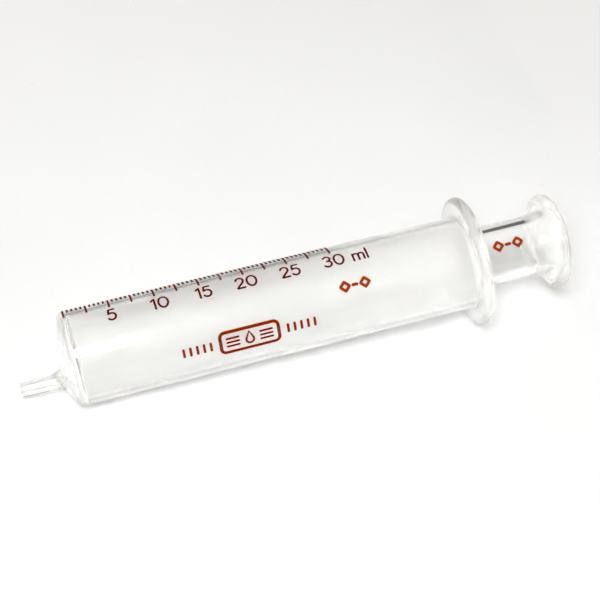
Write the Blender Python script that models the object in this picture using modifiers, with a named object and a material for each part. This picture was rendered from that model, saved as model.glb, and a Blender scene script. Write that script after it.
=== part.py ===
"""All-glass 30 ml syringe with an eccentric slip nozzle: a barrel and a ground plunger.

+X runs along the barrel's axis towards the thumb rest, +Z is up (the side that carries the scale),
and the nozzle sits off centre towards -Z. The origin is under the middle of the syringe's length,
level with the lowest point of the flange. The plunger is modelled pushed right in.
"""

import math

import bmesh
import bpy

MM = 0.001

# Driving dimensions, in millimetres. Positions along the axis are measured from the scale's zero
# line, which is where the piston's front stands when the plunger is pushed in.
GROUND_RADIUS = 11.42        # of the ground fit: 30 ml then takes 73.2 mm of travel
RUNNING_GAP = 0.05           # between the piston and the bore, on the radius
BARREL_RADIUS = 13.0
FRONT_CORNER = 2.2           # rounding of the closed end's outer edge
CORNER_START = 0.15          # where that rounding leaves the tube
CORNER_TURN = 72.0           # degrees that it turns before the domed end wall takes over
BORE_FLOOR = -0.3            # inside of the closed end: the piston stops just short of it
FLOOR_CORNER = 1.2

FLANGE_RADIUS = 18.15
FLANGE_START = 110.6
FLANGE_THICKNESS = 3.0
FLANGE_FACE_RADIUS = 16.7    # where the flat faces end and the round rim starts
FLANGE_FILLET = 0.8
MOUTH_ROUNDING = 0.9         # of the bore's open edge

NOZZLE_OFFSET = 7.4          # from the barrel's axis down to the nozzle's axis
NOZZLE_TIP = -15.35
NOZZLE_ROOT = -6.7           # where the straight taper meets the root flare
NOZZLE_TIP_RADIUS = 1.97
LUER_TAPER = 0.06            # change of diameter over length
NOZZLE_BORE_RADIUS = 1.05
NOZZLE_EDGE = 0.3            # rounding of the tip's outer edge
END_DOME = 1.35              # how far the end wall bulges before the flare
ROOT_FLARE_POWER = 9.0       # how suddenly the end wall turns into the nozzle
OFFSET_POWER = 1.2           # how soon its rings move down to the nozzle's axis
END_RING_CROWDING = 1.5      # how much closer its rings lie towards the nozzle

PISTON_CORNER = 1.4
PISTON_BACK = 106.5          # where the ground length ends
PISTON_WALL = 1.5
PISTON_FLOOR = 2.2           # thickness of the piston's closed front
PISTON_FLOOR_CORNER = 1.0    # rounding between the hollow and that front
SHOULDER_LENGTH = 4.0
NECK_RADIUS = 8.5
NECK_WALL = 2.0
NECK_FLARE = 2.8             # how far the neck flares out in front of the thumb rest
NECK_FLARE_LENGTH = 4.6      # and over what length
THUMB_FRONT = 134.6
THUMB_BACK = 138.4
THUMB_RADIUS = 13.4
THUMB_MOUTH = 3.9            # how far the hollow opens out inside the flare

ROUND_STEPS = 64             # sides of every turned shape, so that the piston and bore line up
ARC_STEPS = 5
END_RINGS = 12
EXTRA = 2.0                  # how far a cutter reaches past the solid that it cuts

MIDDLE = (NOZZLE_TIP + THUMB_BACK) / 2
BORE_RADIUS = GROUND_RADIUS + RUNNING_GAP / 2
PISTON_RADIUS = GROUND_RADIUS - RUNNING_GAP / 2
FLANGE_BACK = FLANGE_START + FLANGE_THICKNESS
NOZZLE_ROOT_RADIUS = NOZZLE_TIP_RADIUS + LUER_TAPER / 2 * (NOZZLE_ROOT - NOZZLE_TIP)

CLEAR_GLASS = (0.93, 0.95, 0.94, 0.35)
GROUND_GLASS = (0.90, 0.91, 0.90, 0.60)


def clear_scene():
    """Remove every object of the startup scene."""
    for obj in list(bpy.data.objects):
        bpy.data.objects.remove(obj, do_unlink=True)


def make_collection(name):
    """Add a new collection to the scene."""
    collection = bpy.data.collections.new(name)
    bpy.context.scene.collection.children.link(collection)
    return collection


def make_material(name, color, roughness):
    """Make a plain glass-like Principled material."""
    material = bpy.data.materials.new(name)
    material.use_nodes = True
    shader = material.node_tree.nodes["Principled BSDF"]
    shader.inputs["Base Color"].default_value = color
    shader.inputs["Roughness"].default_value = roughness
    shader.inputs["Metallic"].default_value = 0.0
    shader.inputs["Alpha"].default_value = color[3]
    return material


def arc(centre, radius, start, end, steps=ARC_STEPS, stretch=1.0):
    """Points (along, out) of an arc, both ends included, with angles in degrees from +along.

    stretch lengthens it along the axis into part of an ellipse.
    """
    points = []
    for step in range(steps + 1):
        angle = math.radians(start + (end - start) * step / steps)
        along = centre[0] + radius * stretch * math.cos(angle)
        points.append((along, centre[1] + radius * math.sin(angle)))
    return points


def place(obj, collection):
    """Put an object on the barrel's axis, in a collection."""
    obj.location = (-MIDDLE * MM, 0.0, FLANGE_RADIUS * MM)
    collection.objects.link(obj)


def turned(name, profile, collection, offset=0.0):
    """Turn an outline of (along, out) points around the barrel's axis, or one at offset below it.

    The outline starts and ends on the axis, and its outer side runs from the thumb end to the
    nozzle end.
    """
    mesh = bpy.data.meshes.new(name)
    vertices = [(along * MM, 0.0, out * MM) for along, out in profile]
    edges = [(index, index + 1) for index in range(len(profile) - 1)]
    mesh.from_pydata(vertices, edges, [])
    obj = bpy.data.objects.new(name, mesh)
    place(obj, collection)
    obj.location.z -= offset * MM
    screw = obj.modifiers.new("Turn", "SCREW")
    screw.axis = "X"
    screw.angle = math.tau
    screw.steps = ROUND_STEPS
    screw.render_steps = ROUND_STEPS
    screw.use_merge_vertices = True
    screw.merge_threshold = 0.00001
    return obj


def lofted(name, rings, collection):
    """Join rings of (along, offset, radius), from the thumb end to the nozzle end, into a solid.

    offset is how far a ring's centre lies below the barrel's axis, so no turned shape makes this.
    """
    mesh = bpy.data.meshes.new(name)
    work = bmesh.new()
    loops = []
    for along, offset, radius in rings:
        loop = []
        for step in range(ROUND_STEPS):
            angle = math.tau * step / ROUND_STEPS
            side = radius * math.sin(angle)
            height = radius * math.cos(angle) - offset
            loop.append(work.verts.new((along * MM, side * MM, height * MM)))
        loops.append(loop)
    for near, far in zip(loops, loops[1:]):
        for step in range(ROUND_STEPS):
            following = (step + 1) % ROUND_STEPS
            work.faces.new((near[step], near[following], far[following], far[step]))
    work.faces.new(loops[0])
    work.faces.new(loops[-1])
    bmesh.ops.recalc_face_normals(work, faces=work.faces)
    work.to_mesh(mesh)
    work.free()
    obj = bpy.data.objects.new(name, mesh)
    place(obj, collection)
    return obj


def cut(obj, cutter):
    """Cut a solid away from obj."""
    modifier = obj.modifiers.new(cutter.name, "BOOLEAN")
    modifier.operation = "DIFFERENCE"
    modifier.solver = "EXACT"
    modifier.object = cutter


def round_rim(front, back, face_radius, radius):
    """Points (along, out) of a disc's rounded rim, from its back face over to its front face."""
    height = radius - face_radius
    centre = ((front + back) / 2, face_radius)
    return arc(centre, height, 0.0, 180.0, 2 * ARC_STEPS, (back - front) / 2 / height)


def end_wall_rings():
    """Rings of the domed end wall, which drift down onto the nozzle's axis as they close in."""
    corner = arc((CORNER_START, BARREL_RADIUS - FRONT_CORNER), FRONT_CORNER, 90.0, 90.0 + CORNER_TURN)
    rings = [(along, 0.0, out) for along, out in corner]
    face, wide = corner[-1]
    flare_length = face - END_DOME - NOZZLE_ROOT
    for step in range(1, END_RINGS + 1):
        share = (1.0 - step / END_RINGS) ** END_RING_CROWDING
        radius = NOZZLE_ROOT_RADIUS + (wide - NOZZLE_ROOT_RADIUS) * share
        offset = NOZZLE_OFFSET * (1.0 - share ** OFFSET_POWER)
        along = face - END_DOME * (1.0 - share ** 2) - flare_length * (1.0 - share) ** ROOT_FLARE_POWER
        rings.append((along, offset, radius))
    return rings


def barrel_rings():
    """Every ring of the barrel's outside, from the flange's back to the nozzle's tip."""
    fillet = arc((FLANGE_START - FLANGE_FILLET, BARREL_RADIUS + FLANGE_FILLET), FLANGE_FILLET, 0.0, -90.0, 3)
    tube = round_rim(FLANGE_START, FLANGE_BACK, FLANGE_FACE_RADIUS, FLANGE_RADIUS) + fillet
    rings = [(along, 0.0, out) for along, out in tube]
    rings += end_wall_rings()
    tip = arc((NOZZLE_TIP + NOZZLE_EDGE, NOZZLE_TIP_RADIUS - NOZZLE_EDGE), NOZZLE_EDGE, 90.0, 180.0, 3)
    return rings + [(along, NOZZLE_OFFSET, out) for along, out in tip]


def bore_outline():
    """The bore's space, from behind the flange to its closed floor."""
    wide = BORE_RADIUS + MOUTH_ROUNDING
    mouth = arc((FLANGE_BACK - MOUTH_ROUNDING, wide), MOUTH_ROUNDING, 0.0, -90.0, 3)
    floor = arc((BORE_FLOOR + FLOOR_CORNER, BORE_RADIUS - FLOOR_CORNER), FLOOR_CORNER, 90.0, 180.0, 3)
    behind = FLANGE_BACK + EXTRA
    return [(behind, 0.0), (behind, wide)] + mouth + floor + [(BORE_FLOOR, 0.0)]


def nozzle_bore_outline():
    """The channel through the nozzle and the end wall, about the nozzle's own axis."""
    behind = BORE_FLOOR + EXTRA
    front = NOZZLE_TIP - EXTRA
    return [(behind, 0.0), (behind, NOZZLE_BORE_RADIUS), (front, NOZZLE_BORE_RADIUS), (front, 0.0)]


def plunger_outline():
    """The plunger's wall: back along its hollow, over the thumb rest, and forward along its outside."""
    hollow = PISTON_RADIUS - PISTON_WALL
    neck_hollow = NECK_RADIUS - NECK_WALL
    shoulder_end = PISTON_BACK + SHOULDER_LENGTH
    corner = PISTON_FLOOR_CORNER
    inside = [(PISTON_FLOOR, 0.0)]
    inside += arc((PISTON_FLOOR + corner, hollow - corner), corner, 180.0, 90.0, 3)
    inside += [(PISTON_BACK - NECK_WALL, hollow), (shoulder_end, neck_hollow)]
    flare_start = THUMB_FRONT - NECK_FLARE_LENGTH
    mouth_stretch = (THUMB_BACK - flare_start) / THUMB_MOUTH
    inside += arc((flare_start, neck_hollow + THUMB_MOUTH), THUMB_MOUTH, -90.0, 0.0, ARC_STEPS, mouth_stretch)
    face_radius = THUMB_RADIUS - (THUMB_BACK - THUMB_FRONT) / 2
    outside = round_rim(THUMB_FRONT, THUMB_BACK, face_radius, THUMB_RADIUS)
    flare = (flare_start, NECK_RADIUS + NECK_FLARE)
    outside += arc(flare, NECK_FLARE, 0.0, -90.0, ARC_STEPS, NECK_FLARE_LENGTH / NECK_FLARE)
    outside += [(shoulder_end, NECK_RADIUS), (PISTON_BACK, PISTON_RADIUS)]
    outside += arc((PISTON_CORNER, PISTON_RADIUS - PISTON_CORNER), PISTON_CORNER, 90.0, 180.0, 4)
    return inside + outside + [(0.0, 0.0)]


def make_barrel(pieces, cutters):
    """One glass body: tube, closed end, eccentric nozzle and finger flange."""
    barrel = lofted("barrel", barrel_rings(), pieces)
    cut(barrel, turned("bore_cutter", bore_outline(), cutters))
    cut(barrel, turned("nozzle_bore_cutter", nozzle_bore_outline(), cutters, NOZZLE_OFFSET))
    barrel.data.materials.append(make_material("clear_glass", CLEAR_GLASS, 0.05))


def make_plunger(pieces):
    """One glass body: ground piston, hollow neck and thumb rest."""
    plunger = turned("plunger", plunger_outline(), pieces)
    plunger.data.materials.append(make_material("ground_glass", GROUND_GLASS, 0.45))


def build():
    """Make both glass pieces."""
    clear_scene()
    pieces = make_collection("glass_syringe")
    cutters = make_collection("cutters")
    cutters.hide_render = True
    make_barrel(pieces, cutters)
    make_plunger(pieces)
    for cutter in cutters.objects:
        cutter.hide_render = True
        cutter.display_type = "WIRE"


build()
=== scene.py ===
"""Looks of the all-glass 30 ml syringe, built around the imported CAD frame.

Lengths in this script are millimetres unless a name ends in _M. Positions along the axis are measured
from the scale's zero line, where the piston's front stands at rest, and angles around it in degrees
from the top of the barrel towards the camera's side.
"""

import math

import bmesh
import bpy
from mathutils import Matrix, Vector


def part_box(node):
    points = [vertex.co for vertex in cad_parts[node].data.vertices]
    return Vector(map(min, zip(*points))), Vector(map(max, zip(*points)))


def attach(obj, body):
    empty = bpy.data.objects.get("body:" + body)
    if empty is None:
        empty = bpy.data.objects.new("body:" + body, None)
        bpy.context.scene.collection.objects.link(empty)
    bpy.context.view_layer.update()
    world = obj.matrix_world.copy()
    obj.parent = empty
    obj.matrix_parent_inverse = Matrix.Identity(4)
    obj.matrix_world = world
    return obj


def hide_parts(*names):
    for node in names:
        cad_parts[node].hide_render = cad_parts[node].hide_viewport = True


MM = 0.001

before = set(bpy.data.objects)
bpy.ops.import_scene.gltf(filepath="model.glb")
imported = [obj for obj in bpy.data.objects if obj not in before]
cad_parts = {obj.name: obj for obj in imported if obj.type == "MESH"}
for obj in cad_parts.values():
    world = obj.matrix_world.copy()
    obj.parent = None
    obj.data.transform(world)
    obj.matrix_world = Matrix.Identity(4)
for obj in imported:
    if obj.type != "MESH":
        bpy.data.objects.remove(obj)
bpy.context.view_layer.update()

BARREL_LOW, BARREL_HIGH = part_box("barrel")
PLUNGER_LOW, PLUNGER_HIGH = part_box("plunger")
ZERO_X = PLUNGER_LOW.x / MM
AXIS_Z = (PLUNGER_LOW.z + PLUNGER_HIGH.z) / 2 / MM

# The same driving dimensions as the CAD model.
GROUND_RADIUS = 11.42
RUNNING_GAP = 0.05
BARREL_RADIUS = 13.0
FRONT_CORNER = 2.2
CORNER_START = 0.15
CORNER_TURN = 72.0
BORE_FLOOR = -0.3
FLOOR_CORNER = 1.2
FLANGE_BACK = BARREL_HIGH.x / MM - ZERO_X
FLANGE_THICKNESS = 3.0
FLANGE_START = FLANGE_BACK - FLANGE_THICKNESS
FLANGE_RADIUS = (BARREL_HIGH.z - BARREL_LOW.z) / 2 / MM
FLANGE_FACE_RADIUS = 16.7
FLANGE_FILLET = 0.8
MOUTH_ROUNDING = 0.9
NOZZLE_OFFSET = 7.4
NOZZLE_TIP = BARREL_LOW.x / MM - ZERO_X
NOZZLE_ROOT = -6.7
NOZZLE_TIP_RADIUS = 1.97
LUER_TAPER = 0.06
NOZZLE_BORE_RADIUS = 1.05
NOZZLE_EDGE = 0.3
END_DOME = 1.35
ROOT_FLARE_POWER = 9.0
OFFSET_POWER = 1.2
PISTON_CORNER = 1.4
PISTON_BACK = 106.5
PISTON_WALL = 1.5
PISTON_FLOOR = 2.2
PISTON_FLOOR_CORNER = 1.0
SHOULDER_LENGTH = 4.0
NECK_RADIUS = 8.5
NECK_WALL = 2.0
NECK_FLARE = 2.8
NECK_FLARE_LENGTH = 4.6
THUMB_BACK = PLUNGER_HIGH.x / MM - ZERO_X
THUMB_THICKNESS = 3.8
THUMB_FRONT = THUMB_BACK - THUMB_THICKNESS
THUMB_RADIUS = (PLUNGER_HIGH.z - PLUNGER_LOW.z) / 2 / MM
THUMB_MOUTH = 3.9

BORE_RADIUS = GROUND_RADIUS + RUNNING_GAP / 2
PISTON_RADIUS = GROUND_RADIUS - RUNNING_GAP / 2
NOZZLE_ROOT_RADIUS = NOZZLE_TIP_RADIUS + LUER_TAPER / 2 * (NOZZLE_ROOT - NOZZLE_TIP)

# The print, from the graduated volume: 30 ml of a ground bore of the radius above.
CAPACITY_ML = 30.0
SCALE_STEP_ML = 0.5
LONG_LINE_EVERY = 5
NUMERAL_EVERY_ML = 5
ML_LENGTH = 1000.0 / (math.pi * GROUND_RADIUS ** 2)
LINE_WIDTH = 0.58
LINE_FOOT = -46.5            # angle where every line starts, on the side away from the camera
LONG_LINE_END = -14.7
SHORT_LINE_END = -28.5
NUMERAL_MIDDLE = 0.0
NUMERAL_HEIGHT = 3.7
NUMERAL_STROKE = 0.58
NUMERAL_SHIFT = {10: 0.75, 15: 0.5}     # how far past its line a numeral stands
UNIT_AFTER_SCALE = 7.4       # from the last line to the middle of the unit
ENAMEL_HEIGHT = 0.035
ENAMEL_SINK = 0.01           # how far a stroke reaches into the glass, so that no gap shows

# The marks that stand in for the maker's: a framed drop between dashes, and a pair of diamonds.
EMBLEM_ALONG = 46.0
EMBLEM_ANGLE = 69.5
EMBLEM_HALF_LONG = 8.0
EMBLEM_HALF_HIGH = 2.95
EMBLEM_CORNER = 1.3
EMBLEM_FRAME_STROKE = 0.9
DROP_RADIUS = 1.05
DROP_BELOW_MIDDLE = 0.45     # from the emblem's middle down to the centre of the drop's round part
DROP_POINT = 1.9             # from the emblem's middle up to the drop's point
DROP_STROKE = 0.6
BAR_START = 3.0
BAR_LENGTH = 3.2
BAR_SPACING = 1.1
BAR_STROKE = 0.58
DASH_COUNT = 5
DASH_START = 10.6
DASH_SPACING = 1.85
DASH_HALF_HEIGHT = 1.0
DASH_STROKE = 0.7
PAIRING_HEIGHT = 3.4
PAIRING_STROKE = 0.85
PAIRING_CENTRES = (0.5, 2.15)            # of the two diamonds, in heights from the left end
PAIRING_DASH = (1.16, 1.49)              # ends of the dash, likewise
PAIRING_ON_BARREL = (72.2, 46.6)         # left end along the axis, and angle around it
PAIRING_ON_NECK = (117.6, 43.9)
PAIRING_LIFT = 0.3                       # from that angle up to the foot of the mark

SMOOTH_STEPS = 192           # points around every ring
ARC_STEPS = 10

GLASS_IOR = 1.474            # borosilicate
TABLE_FADE_M = (0.45, 1.6)   # distances between which the table turns paler


# ---------------------------------------------------------------- materials

def new_material(name, viewport_color):
    """An empty node material with its Principled shader."""
    material = bpy.data.materials.new(name)
    material.use_nodes = True
    material.diffuse_color = viewport_color
    return material, material.node_tree, material.node_tree.nodes["Principled BSDF"]


def noise(tree, scale, detail=3.0, stretch=(1.0, 1.0, 1.0), roughness=0.5):
    """Fac of a noise texture on the piece's own coordinates, in metres times scale."""
    coordinates = tree.nodes.new("ShaderNodeTexCoord")
    mapping = tree.nodes.new("ShaderNodeMapping")
    mapping.inputs["Scale"].default_value = stretch
    texture = tree.nodes.new("ShaderNodeTexNoise")
    texture.inputs["Scale"].default_value = scale
    texture.inputs["Detail"].default_value = detail
    texture.inputs["Roughness"].default_value = roughness
    tree.links.new(coordinates.outputs["Object"], mapping.inputs["Vector"])
    tree.links.new(mapping.outputs["Vector"], texture.inputs["Vector"])
    return texture.outputs["Fac"]


def spread(tree, value, low, high):
    """Map a noise value to the range from low to high."""
    node = tree.nodes.new("ShaderNodeMapRange")
    node.inputs["From Min"].default_value = 0.3
    node.inputs["From Max"].default_value = 0.7
    node.inputs["To Min"].default_value = low
    node.inputs["To Max"].default_value = high
    tree.links.new(value, node.inputs["Value"])
    return node.outputs["Result"]


def tint(tree, value, low, high):
    """Mix two colours by a noise value."""
    ramp = tree.nodes.new("ShaderNodeValToRGB")
    ramp.color_ramp.elements[0].position = 0.3
    ramp.color_ramp.elements[0].color = (*low, 1.0)
    ramp.color_ramp.elements[1].position = 0.7
    ramp.color_ramp.elements[1].color = (*high, 1.0)
    tree.links.new(value, ramp.inputs["Fac"])
    return ramp.outputs["Color"]


def bump(tree, shader, layers):
    """Chain bump nodes (height, distance in metres, strength) into the shader's normal."""
    previous = None
    for height, distance, strength in layers:
        node = tree.nodes.new("ShaderNodeBump")
        node.inputs["Distance"].default_value = distance
        node.inputs["Strength"].default_value = strength
        tree.links.new(height, node.inputs["Height"])
        if previous is not None:
            tree.links.new(previous, node.inputs["Normal"])
        previous = node.outputs["Normal"]
    tree.links.new(previous, shader.inputs["Normal"])


def clear_glass():
    """Fire-polished borosilicate glass, with the faint waviness of drawn tube."""
    material, tree, shader = new_material("clear_glass", (0.92, 0.95, 0.94, 0.4))
    shader.inputs["Transmission Weight"].default_value = 1.0
    shader.inputs["IOR"].default_value = GLASS_IOR
    colour = tint(tree, noise(tree, 60.0), (0.992, 0.996, 0.992), (0.998, 1.0, 0.998))
    tree.links.new(colour, shader.inputs["Base Color"])
    tree.links.new(spread(tree, noise(tree, 180.0), 0.004, 0.015), shader.inputs["Roughness"])
    waves = noise(tree, 55.0, 2.0, (0.35, 1.0, 1.0))
    bump(tree, shader, [(waves, 0.00002, 0.3)])
    return material


def worked_glass():
    """Glass shaped in the flame, at the flange and the thumb rest: clear, but softly rippled."""
    material, tree, shader = new_material("worked_glass", (0.92, 0.95, 0.94, 0.5))
    shader.inputs["Transmission Weight"].default_value = 0.9
    shader.inputs["IOR"].default_value = GLASS_IOR
    colour = tint(tree, noise(tree, 90.0), (0.988, 0.99, 0.982), (0.997, 0.998, 0.992))
    tree.links.new(colour, shader.inputs["Base Color"])
    tree.links.new(spread(tree, noise(tree, 260.0), 0.14, 0.24), shader.inputs["Roughness"])
    bump(tree, shader, [(noise(tree, 120.0, 2.0), 0.00001, 0.3)])
    return material


def ground_glass():
    """Ground glass: fine frosting with faint rings left by the grinding."""
    material, tree, shader = new_material("ground_glass", (0.9, 0.9, 0.88, 0.8))
    shader.inputs["Transmission Weight"].default_value = 0.88
    shader.inputs["IOR"].default_value = GLASS_IOR
    colour = tint(tree, noise(tree, 350.0, 4.0), (0.99, 0.99, 0.983), (1.0, 1.0, 0.995))
    tree.links.new(colour, shader.inputs["Base Color"])
    tree.links.new(spread(tree, noise(tree, 900.0), 0.52, 0.68), shader.inputs["Roughness"])
    grit = noise(tree, 6500.0, 2.0)
    rings = noise(tree, 2400.0, 2.0, (1.0, 0.04, 0.04))
    bump(tree, shader, [(grit, 0.00002, 0.5), (rings, 0.00002, 0.35)])
    return material


def enamel(name, low, high):
    """Ceramic ink fired into the glass: matt, slightly uneven and granular."""
    material, tree, shader = new_material(name, (*high, 1.0))
    tree.links.new(tint(tree, noise(tree, 2600.0, 4.0), low, high), shader.inputs["Base Color"])
    shader.inputs["Specular IOR Level"].default_value = 0.0
    tree.links.new(spread(tree, noise(tree, 1500.0), 0.6, 0.8), shader.inputs["Roughness"])
    bump(tree, shader, [(noise(tree, 5200.0, 3.0), 0.00002, 0.5)])
    return material


def table_top():
    """Plain white matt table, paler far away, where the light falls off."""
    material, tree, shader = new_material("table_top", (0.95, 0.95, 0.94, 1.0))
    colour = tint(tree, noise(tree, 9.0), (0.645, 0.65, 0.655), (0.67, 0.675, 0.68))
    coordinates = tree.nodes.new("ShaderNodeTexCoord")
    distance = tree.nodes.new("ShaderNodeVectorMath")
    distance.operation = "LENGTH"
    tree.links.new(coordinates.outputs["Object"], distance.inputs[0])
    fade = tree.nodes.new("ShaderNodeMapRange")
    fade.inputs["From Min"].default_value = TABLE_FADE_M[0]
    fade.inputs["From Max"].default_value = TABLE_FADE_M[1]
    tree.links.new(distance.outputs["Value"], fade.inputs["Value"])
    mix = tree.nodes.new("ShaderNodeMix")
    mix.data_type = "RGBA"
    mix.inputs["B"].default_value = (0.95, 0.95, 0.945, 1.0)
    tree.links.new(fade.outputs["Result"], mix.inputs["Factor"])
    tree.links.new(colour, mix.inputs["A"])
    tree.links.new(mix.outputs["Result"], shader.inputs["Base Color"])
    tree.links.new(spread(tree, noise(tree, 40.0), 0.55, 0.7), shader.inputs["Roughness"])
    bump(tree, shader, [(noise(tree, 600.0), 0.00005, 0.1)])
    return material


CLEAR = clear_glass()
WORKED = worked_glass()
GROUND = ground_glass()
SCALE_INK = enamel("scale_enamel", (0.055, 0.002, 0.0003), (0.095, 0.005, 0.001))
EMBLEM_INK = enamel("emblem_enamel", (0.14, 0.011, 0.0005), (0.20, 0.019, 0.001))
PAIRING_INK = enamel("pairing_enamel", (0.17, 0.018, 0.001), (0.25, 0.03, 0.002))


# ---------------------------------------------------------------- geometry

def place(along, out, angle, drop=0.0):
    """A point in metres, from millimetres along the axis and out from it at an angle in radians."""
    height = AXIS_Z - drop + out * math.cos(angle)
    return Vector(((ZERO_X + along) * MM, -out * math.sin(angle) * MM, height * MM))


def arc(centre, radius, start, end, steps=ARC_STEPS, stretch=1.0):
    """Points (along, out) of an arc, both ends included, with angles in degrees from +along.

    stretch lengthens it along the axis into part of an ellipse.
    """
    points = []
    for step in range(steps + 1):
        angle = math.radians(start + (end - start) * step / steps)
        along = centre[0] + radius * stretch * math.cos(angle)
        points.append((along, centre[1] + radius * math.sin(angle)))
    return points


def add_object(name, mesh, materials):
    """Link a mesh to the scene as a named piece with its materials."""
    for material in materials:
        mesh.materials.append(material)
    obj = bpy.data.objects.new(name, mesh)
    bpy.context.scene.collection.objects.link(obj)
    return obj


def lofted(name, rings, materials, closed):
    """Join rings of (along, drop, radius, slot) into a smooth solid.

    A ring's slot is the material of the band that follows it. A ring of no radius is a point, and
    closed joins the last ring to the first.
    """
    work = bmesh.new()
    loops = []
    for along, drop, radius, _slot in rings:
        if radius < 0.0001:
            loops.append([work.verts.new(place(along, 0.0, 0.0, drop))])
            continue
        angles = [math.tau * step / SMOOTH_STEPS for step in range(SMOOTH_STEPS)]
        loops.append([work.verts.new(place(along, radius, angle, drop)) for angle in angles])
    pairs = list(zip(range(len(loops)), range(1, len(loops))))
    if closed:
        pairs.append((len(loops) - 1, 0))
    for first, second in pairs:
        near, far = loops[first], loops[second]
        for step in range(SMOOTH_STEPS):
            following = (step + 1) % SMOOTH_STEPS
            if len(near) == 1:
                corners = (near[0], far[following], far[step])
            elif len(far) == 1:
                corners = (near[step], near[following], far[0])
            else:
                corners = (near[step], near[following], far[following], far[step])
            face = work.faces.new(corners)
            face.smooth = True
            face.material_index = rings[first][3]
    bmesh.ops.recalc_face_normals(work, faces=work.faces)
    mesh = bpy.data.meshes.new(name)
    work.to_mesh(mesh)
    work.free()
    return add_object(name, mesh, materials)


def with_slot(points, slot, drop=0.0):
    """Turn (along, out) points into rings of one material."""
    return [(along, drop, out, slot) for along, out in points]


def straight(start, end, steps):
    """Points on a straight line between two (along, out) points, without either end."""
    points = []
    for step in range(1, steps):
        share = step / steps
        points.append((start[0] + (end[0] - start[0]) * share, start[1] + (end[1] - start[1]) * share))
    return points


def round_rim(front, back, face_radius, radius):
    """Points (along, out) of a disc's rounded rim, from its back face over to its front face."""
    height = radius - face_radius
    centre = ((front + back) / 2, face_radius)
    return arc(centre, height, 0.0, 180.0, 2 * ARC_STEPS, (back - front) / 2 / height)


# ---------------------------------------------------------------- the two glass pieces

CLEAR_SLOT = 0
GROUND_SLOT = 1
WORKED_SLOT = 2
END_RINGS = 40
END_RING_CROWDING = 1.5      # how much closer the end wall's rings lie towards the nozzle
TUBE_RINGS = 40
HOLLOW_RINGS = 30
SHOULDER_STEPS = 16
CHANNEL_EDGE = 0.12          # rounding at both ends of the nozzle's channel
FLOOR_SHARES = (0.25, 0.5, 0.75, 0.97)   # rings of the bore's floor, from the channel to the wall
GRINDING_START = 0.3         # from the rounded floor to the ground part of the bore
GRINDING_END = 0.4           # from there to the rounded mouth
SHOULDER_LEAD = 0.6          # how far the shoulder's inside ends ahead of its outside

# From a rounding to the ring beside it, which keeps the shading of the flat part flat.
FLANGE_SUPPORT = 0.2
HOLLOW_SUPPORT = 0.6
BACK_SUPPORT = 0.2
FRONT_SUPPORT = 0.4


def end_wall_rings():
    """Rings of the domed end wall, which drift down onto the nozzle's axis as they close in."""
    corner = arc((CORNER_START, BARREL_RADIUS - FRONT_CORNER), FRONT_CORNER, 90.0, 90.0 + CORNER_TURN)
    rings = with_slot(corner, WORKED_SLOT)
    face, wide = corner[-1]
    flare_length = face - END_DOME - NOZZLE_ROOT
    for step in range(1, END_RINGS + 1):
        share = (1.0 - step / END_RINGS) ** END_RING_CROWDING
        radius = NOZZLE_ROOT_RADIUS + (wide - NOZZLE_ROOT_RADIUS) * share
        drop = NOZZLE_OFFSET * (1.0 - share ** OFFSET_POWER)
        along = face - END_DOME * (1.0 - share ** 2) - flare_length * (1.0 - share) ** ROOT_FLARE_POWER
        rings.append((along, drop, radius, WORKED_SLOT))
    return rings


def barrel_outside():
    """Outside of the barrel, from the flange's back to the edge of the nozzle's tip."""
    points = round_rim(FLANGE_START, FLANGE_BACK, FLANGE_FACE_RADIUS, FLANGE_RADIUS)
    points += [(FLANGE_START, FLANGE_FACE_RADIUS - FLANGE_SUPPORT)]
    points += [(FLANGE_START, BARREL_RADIUS + FLANGE_FILLET + FLANGE_SUPPORT)]
    fillet = (FLANGE_START - FLANGE_FILLET, BARREL_RADIUS + FLANGE_FILLET)
    points += arc(fillet, FLANGE_FILLET, 0.0, -90.0)
    tube = [points.pop()]
    tube += straight(tube[0], (CORNER_START, BARREL_RADIUS), TUBE_RINGS)
    rings = with_slot(points, WORKED_SLOT) + with_slot(tube, CLEAR_SLOT) + end_wall_rings()
    tip = (NOZZLE_TIP + NOZZLE_EDGE, NOZZLE_TIP_RADIUS - NOZZLE_EDGE)
    return rings + with_slot(arc(tip, NOZZLE_EDGE, 90.0, 180.0, 6), CLEAR_SLOT, NOZZLE_OFFSET)


def barrel_inside():
    """Inside of the barrel, from the nozzle's tip through its channel and up the ground bore."""
    edge = CHANNEL_EDGE
    tip = arc((NOZZLE_TIP + edge, NOZZLE_BORE_RADIUS + edge), edge, 180.0, 270.0, 3)
    hole = arc((BORE_FLOOR - edge, NOZZLE_BORE_RADIUS + edge), edge, -90.0, 0.0, 3)
    rings = with_slot(tip + hole, CLEAR_SLOT, NOZZLE_OFFSET)
    floor_edge = BORE_RADIUS - FLOOR_CORNER
    for share in FLOOR_SHARES:
        radius = NOZZLE_BORE_RADIUS + edge + (floor_edge - NOZZLE_BORE_RADIUS - edge) * share
        rings.append((BORE_FLOOR, NOZZLE_OFFSET * (1.0 - share), radius, CLEAR_SLOT))
    corner = arc((BORE_FLOOR + FLOOR_CORNER, floor_edge), FLOOR_CORNER, 180.0, 90.0)
    rings += with_slot(corner, CLEAR_SLOT)
    ground_start = (BORE_FLOOR + FLOOR_CORNER + GRINDING_START, BORE_RADIUS)
    ground_end = (FLANGE_BACK - MOUTH_ROUNDING - GRINDING_END, BORE_RADIUS)
    rings += with_slot([ground_start] + straight(ground_start, ground_end, TUBE_RINGS), GROUND_SLOT)
    centre = (FLANGE_BACK - MOUTH_ROUNDING, BORE_RADIUS + MOUTH_ROUNDING)
    mouth = arc(centre, MOUTH_ROUNDING, -90.0, 0.0)
    return rings + with_slot([ground_end] + mouth, WORKED_SLOT)


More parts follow.
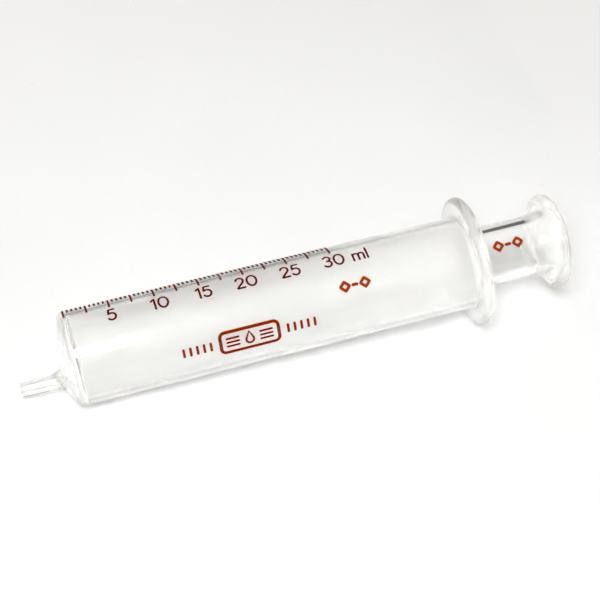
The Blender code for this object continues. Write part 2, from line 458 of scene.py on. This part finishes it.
def make_barrel():
    """One glass body: tube, closed end, eccentric nozzle and finger flange."""
    rings = barrel_outside() + barrel_inside()
    rings.append((FLANGE_BACK, 0.0, FLANGE_FACE_RADIUS - FLANGE_SUPPORT, WORKED_SLOT))
    barrel = lofted("barrel_glass", rings, [CLEAR, GROUND, WORKED], True)
    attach(barrel, "barrel")
    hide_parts("barrel")


def plunger_rings():
    """The plunger's wall: back along its hollow, over the thumb rest and forward along its outside."""
    hollow = PISTON_RADIUS - PISTON_WALL
    neck_hollow = NECK_RADIUS - NECK_WALL
    shoulder_end = PISTON_BACK + SHOULDER_LENGTH
    inside = [(PISTON_FLOOR, 0.0), (PISTON_FLOOR, hollow - PISTON_FLOOR_CORNER - HOLLOW_SUPPORT)]
    corner = (PISTON_FLOOR + PISTON_FLOOR_CORNER, hollow - PISTON_FLOOR_CORNER)
    inside += arc(corner, PISTON_FLOOR_CORNER, 180.0, 90.0)
    inside += straight(inside[-1], (PISTON_BACK - NECK_WALL, hollow), HOLLOW_RINGS)
    inside += shoulder(PISTON_BACK - NECK_WALL, hollow, shoulder_end - SHOULDER_LEAD, neck_hollow)
    flare = (THUMB_FRONT - NECK_FLARE_LENGTH, NECK_RADIUS + NECK_FLARE)
    mouth = (flare[0], neck_hollow + THUMB_MOUTH)
    worked = arc(mouth, THUMB_MOUTH, -90.0, 0.0, 2 * ARC_STEPS, (THUMB_BACK - mouth[0]) / THUMB_MOUTH)
    worked += round_rim(THUMB_FRONT, THUMB_BACK, THUMB_RADIUS - THUMB_THICKNESS / 2, THUMB_RADIUS)
    worked += arc(flare, NECK_FLARE, 0.0, -90.0, 2 * ARC_STEPS, NECK_FLARE_LENGTH / NECK_FLARE)
    outside = list(reversed(shoulder(PISTON_BACK, PISTON_RADIUS, shoulder_end, NECK_RADIUS)))
    ground = [(PISTON_BACK - BACK_SUPPORT, PISTON_RADIUS)]
    ground += straight(ground[0], (PISTON_CORNER, PISTON_RADIUS), TUBE_RINGS)
    front = arc((PISTON_CORNER, PISTON_RADIUS - PISTON_CORNER), PISTON_CORNER, 90.0, 180.0)
    front += [(0.0, PISTON_RADIUS - PISTON_CORNER - FRONT_SUPPORT), (0.0, 0.0)]
    rings = with_slot(inside, CLEAR_SLOT) + with_slot(worked[:-1], WORKED_SLOT)
    rings += with_slot(worked[-1:] + outside, CLEAR_SLOT) + with_slot(ground, GROUND_SLOT)
    return rings + with_slot(front, CLEAR_SLOT)


def shoulder(start, wide, end, narrow):
    """Smooth S-shaped step between two radii of the plunger."""
    points = []
    for step in range(SHOULDER_STEPS + 1):
        share = step / SHOULDER_STEPS
        ease = share * share * (3.0 - 2.0 * share)
        points.append((start + (end - start) * share, wide + (narrow - wide) * ease))
    return points


def make_plunger():
    """One glass body: ground piston, hollow neck and thumb rest."""
    plunger = lofted("plunger_glass", plunger_rings(), [CLEAR, GROUND, WORKED], False)
    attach(plunger, "plunger")
    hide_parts("plunger")


# ---------------------------------------------------------------- enamel print

CAP_POINTS = 5               # points of a stroke's rounded end, between its two sides


def ribbon(work, path, width, radius, closed=False):
    """Add one enamel stroke along a path of (along, around) millimetres, wrapped on a radius.

    around is measured along the surface from the top of the barrel towards the camera's side. The
    ends are rounded, and the stroke is a thin closed slab that stands on the glass.
    """
    half = width / 2
    points = [Vector(point) for point in path]
    count = len(points)
    left, right = [], []
    for index, point in enumerate(points):
        if closed:
            before, after = points[index - 1], points[(index + 1) % count]
        else:
            before, after = points[max(index - 1, 0)], points[min(index + 1, count - 1)]
        along = (after - before).normalized()
        side = Vector((-along.y, along.x))
        left.append(point + side * half)
        right.append(point - side * half)
    if closed:
        closed_slab(work, left, right, radius)
        return
    start_cap = cap(points[0], (points[0] - points[1]).normalized(), half)
    end_cap = cap(points[-1], (points[-1] - points[-2]).normalized(), half)
    open_slab(work, right + end_cap + left[::-1] + start_cap, count, radius)


def cap(centre, outward, half):
    """Points of a rounded end, from its right side round to its left."""
    side = Vector((-outward.y, outward.x))
    points = []
    for step in range(1, CAP_POINTS + 1):
        angle = math.radians(-90.0 + 180.0 * step / (CAP_POINTS + 1))
        points.append(centre + outward * half * math.cos(angle) + side * half * math.sin(angle))
    return points


def on_glass(work, points, radius, lift):
    """New vertices for (along, around) points, at a height over the glass."""
    return [work.verts.new(place(point.x, radius + lift, point.y / radius)) for point in points]


def closed_slab(work, left, right, radius):
    """Top, walls and bottom of a stroke that runs back into itself."""
    rings = [on_glass(work, left, radius, ENAMEL_HEIGHT), on_glass(work, right, radius, ENAMEL_HEIGHT),
             on_glass(work, right, radius, -ENAMEL_SINK), on_glass(work, left, radius, -ENAMEL_SINK)]
    for near, far in zip(rings, rings[1:] + rings[:1]):
        for index in range(len(near)):
            following = (index + 1) % len(near)
            work.faces.new((near[index], near[following], far[following], far[index]))


def open_slab(work, outline, count, radius):
    """Top, walls and bottom of a stroke with rounded ends."""
    top = on_glass(work, outline, radius, ENAMEL_HEIGHT)
    base = on_glass(work, outline, radius, -ENAMEL_SINK)
    for index in range(len(outline)):
        following = (index + 1) % len(outline)
        work.faces.new((top[index], top[following], base[following], base[index]))
    fill_strip(work, top, count)
    fill_strip(work, base, count)


def fill_strip(work, outline, count):
    """Fill a stroke's outline: a strip of quads along it and a fan at each rounded end."""
    left_start = count + CAP_POINTS
    right = outline[:count]
    end_cap = outline[count:left_start]
    left = outline[left_start:left_start + count][::-1]
    start_cap = outline[left_start + count:]
    for index in range(count - 1):
        work.faces.new((right[index], right[index + 1], left[index + 1], left[index]))
    work.faces.new([right[-1]] + end_cap + [left[-1]])
    work.faces.new([left[0]] + start_cap + [right[0]])


def print_piece(name, strokes, radius, body, ink):
    """Make one printed piece from its strokes, (path, width, closed), and fix it to its glass."""
    work = bmesh.new()
    for path, width, closed in strokes:
        ribbon(work, path, width, radius, closed)
    bmesh.ops.recalc_face_normals(work, faces=work.faces)
    mesh = bpy.data.meshes.new(name)
    work.to_mesh(mesh)
    work.free()
    piece = add_object(name, mesh, [ink])
    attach(piece, body)


def line(start, end, steps=8):
    """Path of a straight stroke, with enough points to follow the glass."""
    points = []
    for step in range(steps + 1):
        share = step / steps
        points.append((start[0] + (end[0] - start[0]) * share, start[1] + (end[1] - start[1]) * share))
    return points


def bend(centre, across, up, start, end, steps=14):
    """Path of an elliptical arc, in degrees anticlockwise from the right as the print is read."""
    points = []
    for step in range(steps + 1):
        angle = math.radians(start + (end - start) * step / steps)
        points.append((centre[0] + across * math.cos(angle), centre[1] + up * math.sin(angle)))
    return points


# Strokes of each glyph in a box one high, with y up from the baseline, and its width.
GLYPHS = {
    "0": (0.74, [bend((0.37, 0.5), 0.37, 0.5, 90.0, 450.0, 32)]),
    "1": (0.30, [line((0.02, 0.78), (0.26, 1.0), 3) + line((0.26, 1.0), (0.26, 0.0))[1:]]),
    "2": (0.62, [bend((0.31, 0.70), 0.29, 0.30, 165.0, -35.0) + line((0.50, 0.47), (0.02, 0.0))[1:]
                 + line((0.02, 0.0), (0.62, 0.0))[1:]]),
    "3": (0.60, [bend((0.29, 0.76), 0.27, 0.24, 150.0, -90.0), bend((0.29, 0.27), 0.31, 0.27, 90.0, -150.0)]),
    "5": (0.60, [line((0.54, 1.0), (0.12, 1.0), 5) + line((0.12, 1.0), (0.05, 0.54))[1:]
                 + bend((0.28, 0.32), 0.32, 0.32, 125.0, -145.0)]),
    "m": (0.86, [line((0.0, 0.0), (0.0, 0.62), 6), bend((0.22, 0.40), 0.22, 0.22, 180.0, 0.0)
                 + line((0.44, 0.40), (0.44, 0.0), 4)[1:],
                 bend((0.65, 0.40), 0.21, 0.22, 180.0, 0.0) + line((0.86, 0.40), (0.86, 0.0), 4)[1:]]),
    "l": (0.04, [line((0.02, 1.0), (0.02, 0.0))]),
}
GLYPH_GAP = 0.24
GLYPH_WIDTH = 0.93


def text_strokes(text, middle, baseline, height, stroke):
    """Strokes of a generic text centred at a place along the axis, upright from the camera's side."""
    widths = [GLYPHS[letter][0] * GLYPH_WIDTH for letter in text]
    total = sum(widths) + GLYPH_GAP * (len(text) - 1)
    left = middle - total * height / 2
    strokes = []
    for letter, width in zip(text, widths):
        for path in GLYPHS[letter][1]:
            placed = [(left + x * GLYPH_WIDTH * height, baseline - y * height) for x, y in path]
            strokes.append((placed, stroke, False))
        left += (width + GLYPH_GAP) * height
    return strokes


def around(degrees, radius):
    """Millimetres along the surface for an angle from the top."""
    return math.radians(degrees) * radius


def make_scale():
    """Lines every half millilitre, longer at every fifth, with the numerals of every 5 ml."""
    strokes = []
    count = round(CAPACITY_ML / SCALE_STEP_ML)
    foot = around(LINE_FOOT, BARREL_RADIUS)
    for index in range(count + 1):
        along = index * SCALE_STEP_ML * ML_LENGTH
        reach = LONG_LINE_END if index % LONG_LINE_EVERY == 0 else SHORT_LINE_END
        path = line((along, foot), (along, around(reach, BARREL_RADIUS)))
        strokes.append((path, LINE_WIDTH, False))
    print_piece("scale_lines", strokes, BARREL_RADIUS, "barrel", SCALE_INK)
    baseline = around(NUMERAL_MIDDLE, BARREL_RADIUS) + NUMERAL_HEIGHT / 2
    for volume in range(NUMERAL_EVERY_ML, round(CAPACITY_ML) + 1, NUMERAL_EVERY_ML):
        along = volume * ML_LENGTH + NUMERAL_SHIFT.get(volume, 0.0)
        strokes = text_strokes(str(volume), along, baseline, NUMERAL_HEIGHT, NUMERAL_STROKE)
        print_piece(f"numeral_{volume}", strokes, BARREL_RADIUS, "barrel", SCALE_INK)
    middle = CAPACITY_ML * ML_LENGTH + UNIT_AFTER_SCALE
    strokes = text_strokes("ml", middle, baseline, NUMERAL_HEIGHT, NUMERAL_STROKE)
    print_piece("unit_mark", strokes, BARREL_RADIUS, "barrel", SCALE_INK)


def diamond(centre, middle, reach):
    """Closed path of a square that stands on its corner."""
    corners = [(centre + reach, middle), (centre, middle - reach)]
    corners += [(centre - reach, middle), (centre, middle + reach)]
    outline = []
    for start, end in zip(corners, corners[1:] + corners[:1]):
        outline += line(start, end, 5)[:-1]
    return outline


def make_pairing_mark(name, position, radius, body):
    """Diamond, dash and diamond: the same plain mark pairs a plunger with its barrel."""
    left, degrees = position
    middle = around(degrees, radius) - PAIRING_LIFT - PAIRING_HEIGHT / 2
    reach = (PAIRING_HEIGHT - PAIRING_STROKE) / 2
    strokes = []
    for share in PAIRING_CENTRES:
        outline = diamond(left + share * PAIRING_HEIGHT, middle, reach)
        strokes.append((outline, PAIRING_STROKE, True))
    dash_start, dash_end = [(left + share * PAIRING_HEIGHT, middle) for share in PAIRING_DASH]
    strokes.append((line(dash_start, dash_end, 3), PAIRING_STROKE, False))
    print_piece(name, strokes, radius, body, PAIRING_INK)


def print_emblem_part(name, strokes):
    """Print one part of the emblem on the barrel."""
    print_piece(name, strokes, BARREL_RADIUS, "barrel", EMBLEM_INK)


def make_emblem():
    """A plain rounded frame with a drop between two sets of bars, and short dashes to either side."""
    middle = around(EMBLEM_ANGLE, BARREL_RADIUS)
    core_long, core_high = EMBLEM_HALF_LONG - EMBLEM_CORNER, EMBLEM_HALF_HIGH - EMBLEM_CORNER
    outline = []
    for quarter, (right, up) in enumerate(((1, 1), (-1, 1), (-1, -1), (1, -1))):
        core = (EMBLEM_ALONG + right * core_long, middle + up * core_high)
        outline += bend(core, EMBLEM_CORNER, EMBLEM_CORNER, 90.0 * quarter, 90.0 * (quarter + 1), 6)
    print_emblem_part("emblem_frame", [(outline, EMBLEM_FRAME_STROKE, True)])
    drop = [(EMBLEM_ALONG, middle - DROP_POINT)]
    drop += bend((EMBLEM_ALONG, middle + DROP_BELOW_MIDDLE), DROP_RADIUS, DROP_RADIUS, -30.0, 210.0, 16)
    inner = [(drop, DROP_STROKE, True)]
    dashes = []
    for side in (-1, 1):                     # the bars and dashes at the drop's left, then its right
        start = EMBLEM_ALONG + side * BAR_START
        end = start + side * BAR_LENGTH
        for shift in (-BAR_SPACING, 0.0, BAR_SPACING):
            inner.append((line((start, middle + shift), (end, middle + shift)), BAR_STROKE, False))
        for index in range(DASH_COUNT):
            along = EMBLEM_ALONG + side * (DASH_START + DASH_SPACING * index)
            dash = line((along, middle - DASH_HALF_HEIGHT), (along, middle + DASH_HALF_HEIGHT))
            dashes.append((dash, DASH_STROKE, False))
    print_emblem_part("emblem_drop", inner)
    print_emblem_part("emblem_dashes", dashes)


# ---------------------------------------------------------------- stage, light and camera

FLOOR_TILT = math.atan2(FLANGE_RADIUS - BARREL_RADIUS, (FLANGE_START + FLANGE_BACK) / 2 - CORNER_START)
FLOOR_HALF_M = 3.0
FLOOR_GAP = 0.05             # kept between the glass and the table
KEY_POSITION_M = (-0.27, -0.64, 0.97)
KEY_FACING = (0.0, 0.55, -0.83)
KEY_SIZE_M = (0.58, 0.41)
KEY_RADIANCE = 18.6
KEY_COLOUR = (0.96, 0.985, 1.0)
ROOM_GREY = (0.68, 0.68, 0.67, 1.0)      # what the camera sees past the table
# Heights of a direction, 0 at the horizon and 1 straight up, and the room's colour there.
ROOM_STOPS = ((0.12, (0.19, 0.187, 0.178, 1.0)), (0.35, (0.435, 0.41, 0.378, 1.0)),
              (0.80, (0.65, 0.615, 0.572, 1.0)))
FLAG_X_M = 0.11
FLAG_NEAR_M = 0.072
FLAG_FAR_M = 0.19
FLAG_BOTTOM_M = -0.02
FLAG_TOP_M = 0.028           # at y = 0, level with the top of the neck, and rising from there
FLAG_RISE = 0.21
CAMERA_LENS = 92.25
CAMERA_SENSOR = 36.0
CAMERA_POSITION_M = (-0.06911, -0.28281, 0.32235)
CAMERA_TARGET_M = (0.00178, 0.0, 0.01907)
EXPOSURE = 0.25
GLASS_BOUNCES = 40           # a ray crosses many walls of glass


def make_floor():
    """The table, tilted in this frame so that the flange and the barrel's front end both rest on it."""
    down = Vector((-math.sin(FLOOR_TILT), 0.0, -math.cos(FLOOR_TILT)))
    touch = place(CORNER_START, 0.0, 0.0) + down * (BARREL_RADIUS + FLOOR_GAP) * MM
    mesh = bpy.data.meshes.new("table")
    work = bmesh.new()
    bmesh.ops.create_grid(work, x_segments=24, y_segments=24, size=FLOOR_HALF_M)
    work.to_mesh(mesh)
    work.free()
    table = add_object("table", mesh, [table_top()])
    table.location = touch
    table.rotation_euler = (0.0, FLOOR_TILT, 0.0)
    return -down


def make_key():
    """A softbox over the camera's left shoulder, given its brightness rather than its power."""
    light = bpy.data.lights.new("key", "AREA")
    light.shape = "RECTANGLE"
    light.size, light.size_y = KEY_SIZE_M
    light.energy = KEY_RADIANCE * math.pi * KEY_SIZE_M[0] * KEY_SIZE_M[1]
    light.color = KEY_COLOUR
    key = bpy.data.objects.new("key", light)
    key.location = KEY_POSITION_M
    key.rotation_euler = Vector(KEY_FACING).to_track_quat("-Z", "Y").to_euler()
    bpy.context.scene.collection.objects.link(key)


def make_world():
    """A pale room that is darkest at the horizon, and an even pale grey to the camera itself."""
    world = bpy.data.worlds.new("studio")
    bpy.context.scene.world = world
    world.use_nodes = True
    tree = world.node_tree
    background = tree.nodes["Background"]
    coordinates = tree.nodes.new("ShaderNodeTexCoord")
    split = tree.nodes.new("ShaderNodeSeparateXYZ")
    tree.links.new(coordinates.outputs["Generated"], split.inputs["Vector"])
    height = tree.nodes.new("ShaderNodeValToRGB")
    ramp = height.color_ramp
    ramp.interpolation = "EASE"
    ramp.elements.new(0.5)                   # a third stop between the two that it comes with
    for element, (position, colour) in zip(ramp.elements, ROOM_STOPS):
        element.position = position
        element.color = colour
    tree.links.new(split.outputs["Z"], height.inputs["Fac"])
    paths = tree.nodes.new("ShaderNodeLightPath")
    mix = tree.nodes.new("ShaderNodeMix")
    mix.data_type = "RGBA"
    mix.inputs["B"].default_value = ROOM_GREY
    tree.links.new(paths.outputs["Is Camera Ray"], mix.inputs["Factor"])
    tree.links.new(height.outputs["Color"], mix.inputs["A"])
    tree.links.new(mix.outputs["Result"], background.inputs["Color"])
    background.inputs["Strength"].default_value = 1.0


def make_flag():
    """A small black card behind the syringe, unseen itself, that draws the dark line along the neck.

    It stands edge-on to the syringe, so that it doesn't show through the neck from in front.
    """
    material, tree, shader = new_material("black_card", (0.02, 0.02, 0.02, 1.0))
    colour = tint(tree, noise(tree, 90.0), (0.02, 0.02, 0.02), (0.03, 0.03, 0.03))
    tree.links.new(colour, shader.inputs["Base Color"])
    shader.inputs["Roughness"].default_value = 0.9
    corners = [(FLAG_X_M, FLAG_NEAR_M, FLAG_BOTTOM_M), (FLAG_X_M, FLAG_FAR_M, FLAG_BOTTOM_M)]
    corners += [(FLAG_X_M, y, FLAG_TOP_M + FLAG_RISE * y) for y in (FLAG_FAR_M, FLAG_NEAR_M)]
    mesh = bpy.data.meshes.new("flag")
    work = bmesh.new()
    work.faces.new([work.verts.new(corner) for corner in corners])
    work.to_mesh(mesh)
    work.free()
    flag = add_object("flag", mesh, [material])
    flag.visible_camera = False
    flag.visible_diffuse = False
    flag.visible_shadow = False


def make_camera(up):
    """The viewing angle: from above the nozzle's side, level with the table."""
    camera_data = bpy.data.cameras.new("camera")
    camera_data.lens = CAMERA_LENS
    camera_data.sensor_width = CAMERA_SENSOR
    camera_data.clip_start = 0.01
    camera = bpy.data.objects.new("camera", camera_data)
    position = Vector(CAMERA_POSITION_M)
    back = (position - Vector(CAMERA_TARGET_M)).normalized()
    right = up.cross(back).normalized()
    upward = back.cross(right)
    rotation = camera.matrix_world.to_3x3()
    rotation.col[0], rotation.col[1], rotation.col[2] = right, upward, back
    camera.matrix_world = rotation.to_4x4()
    camera.location = position
    bpy.context.scene.collection.objects.link(camera)
    bpy.context.scene.camera = camera


def make_stage():
    """Table, room, light, camera and the picture's tone."""
    up = make_floor()
    make_world()
    make_flag()
    make_key()
    make_camera(up)
    scene = bpy.context.scene
    scene.view_settings.view_transform = "Standard"
    scene.view_settings.exposure = EXPOSURE
    scene.cycles.max_bounces = GLASS_BOUNCES
    scene.cycles.transmission_bounces = GLASS_BOUNCES
    scene.cycles.glossy_bounces = GLASS_BOUNCES
    scene.cycles.diffuse_bounces = 16
    scene.cycles.transparent_max_bounces = 24
    scene.cycles.blur_glossy = 0.0           # any more makes the ground glass too dark
    scene.cycles.sample_clamp_indirect = 0.0


make_barrel()
make_plunger()
make_scale()
make_pairing_mark("barrel_pairing_mark", PAIRING_ON_BARREL, BARREL_RADIUS, "barrel")
make_pairing_mark("plunger_pairing_mark", PAIRING_ON_NECK, NECK_RADIUS, "plunger")
make_emblem()
make_stage()
